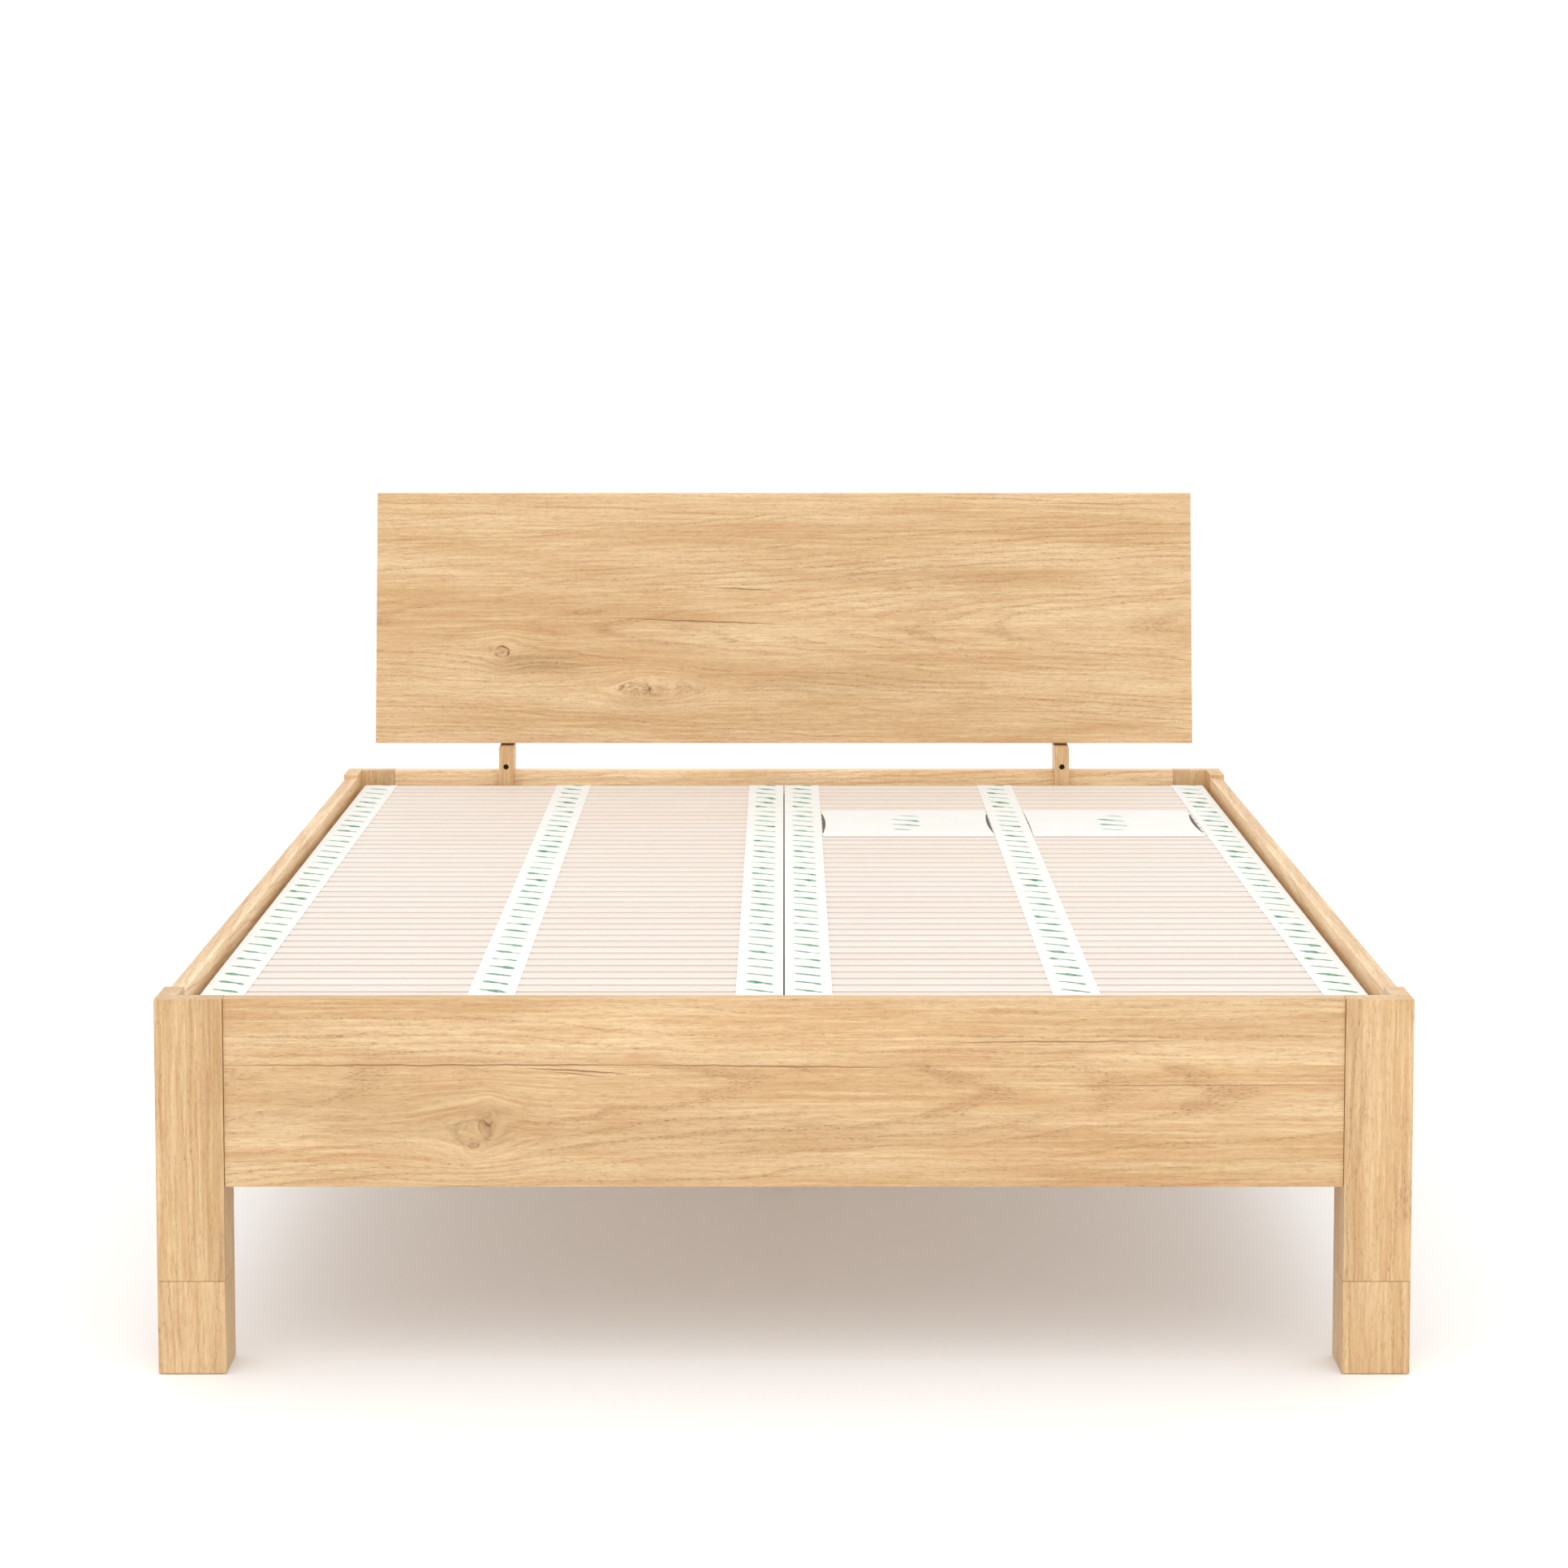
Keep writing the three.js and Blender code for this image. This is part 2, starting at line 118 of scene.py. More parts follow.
SLIT_SHADE_THREAD = 0.0012
SHADE_STRIP_INSET = 0.002  # from the centre beam's edges to its strip of painted shade
SHADE_STRIP_THICKNESS = 0.0002
SHADE_STRIP_LIFT = 0.00005
PRINT_PITCH = 0.0527  # from one printed dash to the next
DASH_THIN = 0.0034  # half the height of a dash's thin parts
DASH_SWELL = 0.0066  # added to it at most where a dash swells
DASH_LEAN = 0.5
DASH_BOW = 3.0
DASH_SEED_STEP = 31.7
DASH_DRIFT = 0.31  # how far the swelling moves across from one dash to the next
TAPE_PRINT_REACH = 0.021  # to both sides of the tape's middle
COVER_PRINT_REACH = 0.026

# ---- Headboard ----
PANEL_RECLINE = math.radians(8.2)
PANEL_HEIGHT = 0.478
PANEL_THICKNESS = 0.025
UPRIGHT_DEPTH = 0.026
FIT_GAP = 0.0003

# ---- Screws ----
SCREW_HEAD_RADIUS = 0.0042
SCREW_HEAD_HEIGHT = 0.0016
SCREW_SOCKET_RADIUS = 0.0022
SCREW_SOCKET_DEPTH = 0.0012
LEDGER_SCREWS = 6
ANGLE_SCREW_DROPS = (0.025, 0.075)  # below the angle's top
HANGER_SCREW_SIDE = 0.0125  # from a hanger's sides
HANGER_SCREW_END = 0.015  # from its top and bottom
PANEL_SCREW_REACHES = (0.06, 0.175, 0.29)  # up the panel's back
PLATE = 0.003  # thickness of the angles and hangers
SCREW_BEVEL = 0.0006
SCREW_SIDES = 16
SCREW_SMOOTH = math.radians(35)
FACING_UP = 0.99  # the upward part of a level face's normal is more than this


def middle(node):
    low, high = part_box(node)
    return (low + high) / 2


# ==== Shader helpers ====
def feed(tree, socket, value):
    if isinstance(value, bpy.types.NodeSocket):
        tree.links.new(value, socket)
    else:
        socket.default_value = value


def put(tree, kind, inputs=None, **settings):
    """A new node with its settings, and its inputs either linked or set."""
    node = tree.nodes.new("ShaderNode" + kind)
    for name, value in settings.items():
        setattr(node, name, value)
    for key, value in (inputs or {}).items():
        feed(tree, node.inputs[key], value)
    return node


def maths(tree, operation, *values, clamp=False):
    inputs = dict(enumerate(values))
    return put(tree, "Math", inputs, operation=operation, use_clamp=clamp).outputs[0]


def product(tree, first, second):
    return maths(tree, "MULTIPLY", first, second)


def total(tree, first, second):
    return maths(tree, "ADD", first, second)


def less(tree, first, second):
    return maths(tree, "SUBTRACT", first, second)


def vectors(tree, operation, *values):
    return put(tree, "VectorMath", dict(enumerate(values)), operation=operation).outputs[0]


def combined(tree, x, y, z):
    return put(tree, "CombineXYZ", {"X": x, "Y": y, "Z": z}).outputs[0]


def split_up(tree, vector):
    return put(tree, "SeparateXYZ", {"Vector": vector}).outputs


def noise(tree, vector, stretch, detail=2.0, roughness=0.5):
    """Soft noise from 0 to 1, with stretch giving its number of blobs per metre along each axis."""
    inputs = {"Vector": vectors(tree, "MULTIPLY", vector, stretch), "Scale": 1.0}
    inputs.update({"Detail": detail, "Roughness": roughness})
    return put(tree, "TexNoise", inputs).outputs["Fac"]


def ranged(tree, value, low, high, to_low=0.0, to_high=1.0, smooth=True):
    inputs = {"Value": value, "From Min": low, "From Max": high, "To Min": to_low, "To Max": to_high}
    kind = "SMOOTHSTEP" if smooth else "LINEAR"
    return put(tree, "MapRange", inputs, interpolation_type=kind, clamp=True).outputs[0]


def tinted(tree, factor, first, second, mode="MIX"):
    """The first colour, with the second laid over it by the factor."""
    node = put(tree, "Mix", data_type="RGBA", blend_type=mode)
    feed(tree, node.inputs[0], factor)
    feed(tree, node.inputs[6], first)
    feed(tree, node.inputs[7], second)
    return node.outputs[2]


def new_group(name, inputs, outputs):
    """An empty node group, with its tree, the sockets that come in and the sockets that go out."""
    tree = bpy.data.node_groups.new(name, "ShaderNodeTree")
    for title, kind in inputs:
        tree.interface.new_socket(title, in_out="INPUT", socket_type="NodeSocket" + kind)
    for title, kind in outputs:
        tree.interface.new_socket(title, in_out="OUTPUT", socket_type="NodeSocket" + kind)
    coming = tree.nodes.new("NodeGroupInput").outputs
    going = tree.nodes.new("NodeGroupOutput").inputs
    return tree, coming, going


def use_group(tree, group, **inputs):
    node = put(tree, "Group", node_tree=group)
    for name, value in inputs.items():
        feed(tree, node.inputs[name], value)
    return node.outputs


def new_material(name, **shader_values):
    """A material with its own shader, whose values that are the same all over are set on the shader."""
    material = bpy.data.materials.new(name)
    material.use_nodes = True
    tree = material.node_tree
    tree.nodes.clear()
    shader = put(tree, "BsdfPrincipled")
    for socket, value in shader_values.items():
        shader.inputs[socket.replace("_", " ")].default_value = value
    output = put(tree, "OutputMaterial")
    tree.links.new(shader.outputs[0], output.inputs["Surface"])
    return material, tree, shader


def set_surface(tree, shader, colour, roughness, height, relief):
    """Colour, roughness and relief (in metres for a height from 0 to 1) on a material's shader."""
    feed(tree, shader.inputs["Base Color"], colour)
    feed(tree, shader.inputs["Roughness"], roughness)
    bump = put(tree, "Bump", {"Height": height, "Distance": relief, "Strength": 1.0})
    tree.links.new(bump.outputs[0], shader.inputs["Normal"])


def srgb(red, green, blue):
    """A colour given as 0 to 255 display values."""
    def linear(value):
        share = value / 255
        return share / 12.92 if share <= 0.04045 else ((share + 0.055) / 1.055) ** 2.4
    return (linear(red), linear(green), linear(blue), 1.0)


# ==== Shared groups for oak ====
RING_SPACING = 0.0085
NEXT_STAVE = 1.618  # added to a board's seed at each glue line
PITH_DEPTHS = (0.042, 0.105)  # of the log's middle below a board, at least and at most
PITH_ASIDE = 0.05  # of the log's middle to either side, at most
STAVE_STEPS = (3.71, 1.37)  # how far apart in the log two staves are, along and across it
# Painted light that makes the shaded inner faces of the side rails paler.
PAINTED_LIGHT_REACH = 0.009  # from a board's middle to where its painted light is strongest
PAINTED_LIGHT_GAIN = 0.17
SHADE_GREEN = 1.2  # a darker board loses more green than red, by this power
SHADE_BLUE = 1.55  # and more blue, by this one
OAK_RELIEF = 0.0004


def knot_group():
    """A knot at Centre, Size long and wide: its push on the grain, its rim and its mottled heart."""
    inputs = [("Board", "Vector"), ("Centre", "Vector"), ("Size", "Vector")]
    inputs += [("Depth", "Float"), ("Heart", "Float")]
    tree, coming, going = new_group("knot", inputs, [("Bend", "Float"), ("Dark", "Float")])
    away = vectors(tree, "SUBTRACT", coming["Board"], coming["Centre"])
    flat = vectors(tree, "MULTIPLY", vectors(tree, "DIVIDE", away, coming["Size"]), (1, 1, 0))
    length = put(tree, "VectorMath", {0: flat}, operation="LENGTH").outputs["Value"]
    falling = maths(tree, "EXPONENT", product(tree, maths(tree, "POWER", length, 2.0), -0.14))
    push = product(tree, split_up(tree, away)["Y"], product(tree, falling, -0.82))
    feed(tree, going["Bend"], push)
    uneven = noise(tree, coming["Board"], (70, 110, 70), 3.0)
    ragged = ranged(tree, uneven, 0, 1, -0.3, 0.3, smooth=False)
    distance = total(tree, length, ragged)
    rim_in = ranged(tree, distance, 0.62, 0.9)
    rim_out = ranged(tree, distance, 0.9, 1.2, 1.0, 0.0)
    broken = ranged(tree, noise(tree, coming["Board"], (45, 60, 45), 1.0), 0.42, 0.6, 0.1, 1.0)
    rim = product(tree, product(tree, rim_in, rim_out), broken)
    inside = ranged(tree, distance, 0.6, 1.1, 1.0, 0.0)
    rings = ranged(tree, maths(tree, "SINE", product(tree, distance, 15.0)), 0.2, 1.0)
    mottle = ranged(tree, noise(tree, coming["Board"], (170, 260, 170), 2.0), 0.45, 0.65)
    heart = total(tree, product(tree, rings, 0.22), product(tree, mottle, 0.3))
    heart = product(tree, inside, total(tree, heart, 0.1))
    heart = product(tree, heart, coming["Heart"])
    dark = total(tree, heart, product(tree, rim, 0.6))
    feed(tree, going["Dark"], product(tree, dark, coming["Depth"]))
    return tree


def patch_group():
    """A soft cloud about Centre, Size long and wide, for darker and lighter patches of a board."""
    inputs = [("Board", "Vector"), ("Centre", "Vector"), ("Size", "Vector")]
    tree, coming, going = new_group("patch", inputs, [("Share", "Float")])
    away = vectors(tree, "SUBTRACT", coming["Board"], coming["Centre"])
    flat = vectors(tree, "MULTIPLY", vectors(tree, "DIVIDE", away, coming["Size"]), (1, 1, 0))
    length = put(tree, "VectorMath", {0: flat}, operation="LENGTH").outputs["Value"]
    ragged = ranged(tree, noise(tree, coming["Board"], (8, 70, 30), 3.0), 0, 1, -0.5, 0.5, smooth=False)
    feed(tree, going["Share"], ranged(tree, total(tree, length, ragged), 0.2, 1.2, 1.0, 0.0))
    return tree


def crack_group():
    """A thin dark line along the grain from Start to End, thickest in its middle."""
    inputs = [("Board", "Vector"), ("Start", "Vector"), ("End", "Vector"), ("Width", "Float")]
    tree, coming, going = new_group("crack", inputs, [("Dark", "Float")])
    place = split_up(tree, coming["Board"])
    start = split_up(tree, coming["Start"])
    end = split_up(tree, coming["End"])
    span = less(tree, end["X"], start["X"])
    share = maths(tree, "DIVIDE", less(tree, place["X"], start["X"]), span, clamp=True)
    rise = product(tree, share, less(tree, end["Y"], start["Y"]))
    waver = ranged(tree, noise(tree, coming["Board"], (26, 0, 0)), 0, 1, -0.0022, 0.0022, smooth=False)
    line = total(tree, total(tree, start["Y"], rise), waver)
    off = maths(tree, "ABSOLUTE", less(tree, place["Y"], line))
    ends = maths(tree, "SINE", product(tree, share, math.pi))
    width = product(tree, coming["Width"], ends)
    share_of_width = maths(tree, "DIVIDE", off, total(tree, width, 1e-5))
    feed(tree, going["Dark"], ranged(tree, share_of_width, 0.3, 1.0, 1.0, 0.0))
    return tree


def oak_group():
    """Oak as it is cut from the log: growth rings, pores, streaks and tone. X runs along the grain."""
    inputs = [("Board", "Vector")]
    inputs += [(title, "Float") for title in ("Stave", "Bend", "Dark", "Shade")]
    outputs = [("Colour", "Color"), ("Roughness", "Float"), ("Height", "Float")]
    tree, coming, going = new_group("oak", inputs, outputs)
    stave = coming["Stave"]
    along = product(tree, stave, STAVE_STEPS[0])
    aside = product(tree, stave, STAVE_STEPS[1])
    shift = combined(tree, along, aside, stave)
    flowing = vectors(tree, "ADD", coming["Board"], combined(tree, 0.0, coming["Bend"], 0.0))
    place = vectors(tree, "ADD", flowing, shift)

    hashed = put(tree, "TexWhiteNoise", {"W": stave}, noise_dimensions="1D")
    chance = put(tree, "SeparateColor", {"Color": hashed.outputs["Color"]}).outputs
    flow = split_up(tree, flowing)
    pith_across = ranged(tree, chance["Red"], 0, 1, -PITH_ASIDE, PITH_ASIDE, smooth=False)
    wander = ranged(tree, noise(tree, place, (2.2, 5, 5), 2.0), 0, 1, -0.028, 0.028, smooth=False)
    across = total(tree, less(tree, flow["Y"], pith_across), wander)
    deep = ranged(tree, chance["Green"], 0, 1, *PITH_DEPTHS)
    below = total(tree, flow["Z"], deep)
    squares = total(tree, maths(tree, "POWER", across, 2.0), maths(tree, "POWER", below, 2.0))
    radius = maths(tree, "SQRT", squares)
    slope = product(tree, flow["X"], ranged(tree, chance["Blue"], 0, 1, -0.06, 0.06, smooth=False))
    ripple = ranged(tree, noise(tree, place, (7, 34, 34), 2.0), 0, 1, -0.005, 0.005, smooth=False)
    depth = total(tree, total(tree, radius, slope), ripple)
    phase = maths(tree, "DIVIDE", depth, RING_SPACING)
    share = maths(tree, "FRACT", phase)
    season = product(tree, ranged(tree, share, 0.0, 0.14), ranged(tree, share, 0.14, 0.6, 1.0, 0.0))
    ring = maths(tree, "FLOOR", phase)
    year = put(tree, "TexWhiteNoise", {"W": ring}, noise_dimensions="1D").outputs["Value"]
    patchy = ranged(tree, noise(tree, place, (3.0, 20, 20), 2.0), 0.32, 0.62, 0.15, 1.0)
    rings = product(tree, season, product(tree, ranged(tree, year, 0, 1, 0.2, 1.0), patchy))

    streaks = ranged(tree, noise(tree, place, (9, 250, 250), 4.0, 0.65), 0.44, 0.68)
    elsewhere = vectors(tree, "ADD", place, (7.0, 3.0, 1.0))
    gleams = ranged(tree, noise(tree, elsewhere, (5, 210, 210), 3.0, 0.6), 0.45, 0.68)
    fine = ranged(tree, noise(tree, place, (60, 430, 430), 3.0, 0.65), 0.46, 0.70)
    pores = ranged(tree, noise(tree, place, (110, 1900, 1900), 1.0), 0.6, 0.72)
    tone = ranged(tree, noise(tree, place, (1.5, 15, 15), 3.0), 0.3, 0.7)
    cloud = ranged(tree, noise(tree, place, (5, 34, 34), 3.0), 0.45, 0.7)

    light = srgb(233, 202, 159)
    honey = srgb(209, 168, 119)
    amber = srgb(206, 160, 110)
    straw = srgb(246, 221, 174)
    late_wood = srgb(178, 131, 84)
    pore = srgb(140, 100, 64)
    knotty = srgb(126, 80, 40)
    layers = (
        (tone, 0.85, honey),
        (cloud, 0.45, amber),
        (gleams, 0.42, straw),
        (rings, 0.36, late_wood),
        (streaks, 0.27, late_wood),
        (fine, 0.38, late_wood),
    )
    colour = light
    for amount, strength, tint in layers:
        colour = tinted(tree, product(tree, amount, strength), colour, tint)
    porous = product(tree, pores, ranged(tree, rings, 0, 0.6, 0.25, 0.75))
    colour = tinted(tree, porous, colour, pore)
    colour = tinted(tree, coming["Dark"], colour, knotty)
    balance = product(tree, ranged(tree, chance["Green"], 0, 1, 0.95, 1.03), coming["Shade"])
    greener = maths(tree, "POWER", balance, SHADE_GREEN)
    bluer = maths(tree, "POWER", balance, SHADE_BLUE)
    colour = vectors(tree, "MULTIPLY", colour, combined(tree, balance, greener, bluer))
    feed(tree, going["Colour"], colour)
    dulled = total(tree, product(tree, porous, 0.25), product(tree, streaks, 0.08))
    feed(tree, going["Roughness"], total(tree, dulled, 0.42))
    sunk = total(tree, product(tree, porous, 0.8), product(tree, coming["Dark"], 0.6))
    sunk = total(tree, sunk, product(tree, streaks, 0.2))
    feed(tree, going["Height"], less(tree, 1.0, sunk))
    return tree


knot = knot_group()
patch = patch_group()
crack = crack_group()
oak = oak_group()

# Turns that lay a piece's grain along X, its width along Y and its thickness along Z.
ACROSS_BED = Matrix(((1, 0, 0), (0, 0, 1), (0, -1, 0)))
ALONG_BED = Matrix(((0, 1, 0), (0, 0, 1), (1, 0, 0)))
UPRIGHT = Matrix(((0, 0, 1), (1, 0, 0), (0, 1, 0)))
UP_THE_PANEL = Matrix((
    (1, 0, 0),
    (0, math.sin(PANEL_RECLINE), math.cos(PANEL_RECLINE)),
    (0, -math.cos(PANEL_RECLINE), math.sin(PANEL_RECLINE)),
))


def oak_material(name, centre, turn, seed, staves=(), knots=(), cracks=(), patches=(), shade=1.0, sap=0):
    """Oak for one piece, with the places of its glued staves, knots, cracks and patches from its centre.

    staves: heights of the glue lines. knots: x, y, length, width, depth and heart of each.
    cracks: start, end, width and depth. patches: x, y, length, width and how much darker.
    The last argument is 1 for painted light on the board's side towards its Z, which lifts the shade on
    a side rail's inner face, -1 for its other side, 0 for none.
    """
    material, tree, shader = new_material(name, Specular_IOR_Level=0.4)
    where = put(tree, "TexCoord").outputs["Object"]
    laid = {"Vector": where, "Location": -(turn @ centre), "Rotation": turn.to_euler()}
    board = put(tree, "Mapping", laid).outputs[0]
    side = split_up(tree, board)["Y"]
    stave = float(seed)
    for edge in staves:
        step = maths(tree, "GREATER_THAN", side, edge)
        stave = total(tree, stave, product(tree, step, NEXT_STAVE))
    bend = 0.0
    dark = 0.0
    for x, y, length, width, depth, heart in knots:
        size = (length, width, 1)
        made = use_group(tree, knot, Board=board, Centre=(x, y, 0), Size=size, Depth=depth, Heart=heart)
        bend = total(tree, bend, made["Bend"])
        dark = total(tree, dark, made["Dark"])
    for start, end, width, depth in cracks:
        made = use_group(tree, crack, Board=board, Start=(*start, 0), End=(*end, 0), Width=width)
        dark = maths(tree, "MAXIMUM", dark, product(tree, made["Dark"], depth))
    for x, y, length, width, depth in patches:
        made = use_group(tree, patch, Board=board, Centre=(x, y, 0), Size=(length, width, 1))
        shade = less(tree, shade, product(tree, made["Share"], depth))
    # Painted light: the board's side towards Z is made paler, to lift the shade on a side rail's inner
    # face.
    if sap:
        depth = product(tree, split_up(tree, board)["Z"], sap)
        shade = total(tree, shade, ranged(tree, depth, 0.0, PAINTED_LIGHT_REACH, 0.0, PAINTED_LIGHT_GAIN))
    made = use_group(tree, oak, Board=board, Stave=stave, Bend=bend, Dark=dark, Shade=shade)
    set_surface(tree, shader, made["Colour"], made["Roughness"], made["Height"], OAK_RELIEF)
    return material


def finish_node(node, material):
    nodes[node].data.materials.clear()
    nodes[node].data.materials.append(material)


def cut_oak(node, turn, seed, **features):
    finish_node(node, oak_material(node + "_oak", middle(node), turn, seed, **features))


def add_foot_board():
    half = (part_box("foot_board")[1].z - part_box("foot_board")[0].z) / 2
    cut_oak(
        "foot_board", ACROSS_BED, 3,
        staves=(-half + 0.033, -half + 0.164), shade=0.93,
        knots=(
            (-0.413, -0.052, 0.026, 0.017, 0.55, 0.5),
            (-0.391, -0.034, 0.007, 0.010, 0.7, 1.0),
            (-0.411, -0.070, 0.008, 0.004, 0.8, 1.0),
        ),
        patches=(
            (-0.05, 0.085, 0.5, 0.045, -0.09),
            (-0.58, -0.022, 0.24, 0.05, 0.10),
            (0.55, 0.05, 0.25, 0.03, -0.05),
            (-0.1, -0.055, 0.6, 0.04, 0.09),
            (-0.38, -0.045, 0.10, 0.03, 0.05),
            (0.0, -0.112, 1.6, 0.016, 0.03),
        ),
        cracks=(
            ((-0.80, 0.037), (-0.10, 0.038), 0.0016, 0.7),
            ((-0.345, 0.034), (-0.205, 0.026), 0.0016, 0.8),
            ((-0.31, 0.029), (-0.24, 0.022), 0.0012, 0.6),
            ((-0.2, 0.038), (0.16, 0.034), 0.0017, 0.65),
            ((0.20, 0.068), (0.53, 0.070), 0.0017, 0.65),
            ((0.30, 0.010), (0.76, 0.011), 0.0012, 0.45),
        ),
    )


def add_headboard_panel():
    half = PANEL_HEIGHT / 2
    cut_oak(
        "headboard_panel", UP_THE_PANEL, 11,
        staves=(0.436 - half,),
        knots=(
            (-0.538, 0.173 - half, 0.014, 0.012, 1.5, 0.35),
            (-0.283, 0.103 - half, 0.032, 0.013, 0.85, 1.0),
            (-0.240, 0.101 - half, 0.022, 0.011, 0.7, 1.0),
            (-0.190, 0.103 - half, 0.016, 0.007, 0.6, 0.6),
        ),
        patches=(
            (-0.538, 0.173 - half, 0.016, 0.016, -0.10),
            (-0.47, 0.152 - half, 0.10, 0.022, 0.22),
            (-0.28, 0.118 - half, 0.12, 0.05, -0.06),
            (-0.27, 0.084 - half, 0.07, 0.020, 0.14),
            (0.10, 0.11 - half, 0.26, 0.05, 0.08),
            (0.27, 0.315 - half, 0.32, 0.025, 0.08),
            (-0.55, 0.338 - half, 0.40, 0.01, 0.05),
            (0.05, 0.25 - half, 0.24, 0.06, -0.06),
        ),
        cracks=(
            ((-0.145, 0.297 - half), (-0.02, 0.291 - half), 0.0022, 0.7),
            ((-0.32, 0.238 - half), (0.01, 0.226 - half), 0.0020, 0.7),
            ((-0.50, 0.067 - half), (-0.36, 0.067 - half), 0.0009, 0.35),
            ((0.30, 0.060 - half), (0.76, 0.061 - half), 0.0010, 0.35),
            ((0.44, 0.457 - half), (0.72, 0.457 - half), 0.0010, 0.4),
        ),
    )


def add_rest_of_oak():
    for seed, corner in enumerate(CORNERS):
        seam = 0.012 if "left" in corner else -0.018
        inner = (0.0, 0.034, 1.5, 0.026, 0.12) if "left" in corner else (0.0, -0.036, 1.5, 0.02, 0.05)
        # The head posts' 1.06 is painted light that lifts the shade on their inner faces; the foot
        # posts' 0.96 is their tone.
        shade = 1.06 if "head" in corner else 0.96
        cut_oak(corner + "_post", UPRIGHT, 20 + seed, staves=(seam,), patches=(inner,), shade=shade)
        cut_oak(corner + "_foot_block", UPRIGHT, 30 + seed, shade=0.95)
    # The head rail's shade of 1.2 is painted light on its shaded inner face.
    cut_oak("head_rail", ACROSS_BED, 41, staves=(0.02,), shade=1.2)
    # The side rails get painted light on their shaded inner faces.
    cut_oak("left_side_rail", ALONG_BED, 42, staves=(0.03,), sap=1)
    cut_oak("right_side_rail", ALONG_BED, 43, staves=(-0.02,), sap=-1)
    cut_oak("centre_beam", ALONG_BED, 44)
    cut_oak("centre_leg", UPRIGHT, 45)
    for seed, side in enumerate(("left", "right")):
        cut_oak(side + "_ledger", ALONG_BED, 50 + seed)
        cut_oak(side + "_clamp_jaw", UPRIGHT, 53 + seed)
        cut_oak(side + "_headboard_upright", UPRIGHT, 56 + seed)


# ==== Steel and felt ====
STEEL_RELIEF = 0.00003
FELT_RELIEF = 0.0003


def zinc_material():
    """Bright zinc plate: cool grey with soft cloudy patches and fine drawing marks."""
    material, tree, shader = new_material("zinc_plate", Metallic=1.0)
    where = put(tree, "TexCoord").outputs["Object"]
    cloudy = ranged(tree, noise(tree, where, (90, 90, 90), 3.0), 0.3, 0.7)
    drawn = noise(tree, where, (300, 300, 4000), 2.0)
    colour = tinted(tree, cloudy, srgb(196, 200, 206), srgb(224, 224, 220))
    roughness = total(tree, ranged(tree, cloudy, 0, 1, 0.28, 0.42), product(tree, drawn, 0.1))
    set_surface(tree, shader, colour, roughness, drawn, STEEL_RELIEF)
    return material


def black_material():
    """Black oxide, a little browner where a key has rubbed it."""
    material, tree, shader = new_material("black_oxide", Metallic=0.8, Specular_IOR_Level=0.4)
    where = put(tree, "TexCoord").outputs["Object"]
    rubbed = ranged(tree, noise(tree, where, (700, 700, 700), 2.0), 0.55, 0.75)
    colour = tinted(tree, rubbed, srgb(58, 44, 34), srgb(98, 80, 62))
    set_surface(tree, shader, colour, ranged(tree, rubbed, 0, 1, 0.5, 0.36), rubbed, STEEL_RELIEF)
    return material


def felt_material(name, deep, pale, sheen):
    """Pressed felt with fine fibres."""
    material, tree, shader = new_material(name, Sheen_Weight=sheen, Sheen_Roughness=0.6)
    where = put(tree, "TexCoord").outputs["Object"]
    fibres = noise(tree, where, (1800, 1800, 500), 4.0, 0.7)
    tufts = noise(tree, where, (350, 350, 350), 3.0)
    colour = tinted(tree, ranged(tree, fibres, 0.3, 0.7), deep, pale)
    colour = tinted(tree, product(tree, tufts, 0.4), colour, deep)
    set_surface(tree, shader, colour, ranged(tree, fibres, 0, 1, 0.85, 1.0), fibres, FELT_RELIEF)
    return material


def add_fittings():
    zinc = zinc_material()
    black = black_material()
    felt = felt_material("grey_felt", srgb(112, 107, 100), srgb(160, 155, 147), 0.3)
    for corner in CORNERS:
        for fitting in ("dowel_screw", "board_angle", "board_bolt", "rail_angle", "rail_bolt"):
            finish_node(corner + "_" + fitting, zinc)
        finish_node(corner + "_glide", felt)
    for node in ("foot_beam_hanger", "head_beam_hanger", "centre_leg_dowel_screw"):
        finish_node(node, zinc)
    finish_node("centre_leg_glide", felt)
    for side in ("left", "right"):
        for level in ("upper", "lower"):
            finish_node(f"{side}_clamp_bolt_{level}", black)
    return zinc


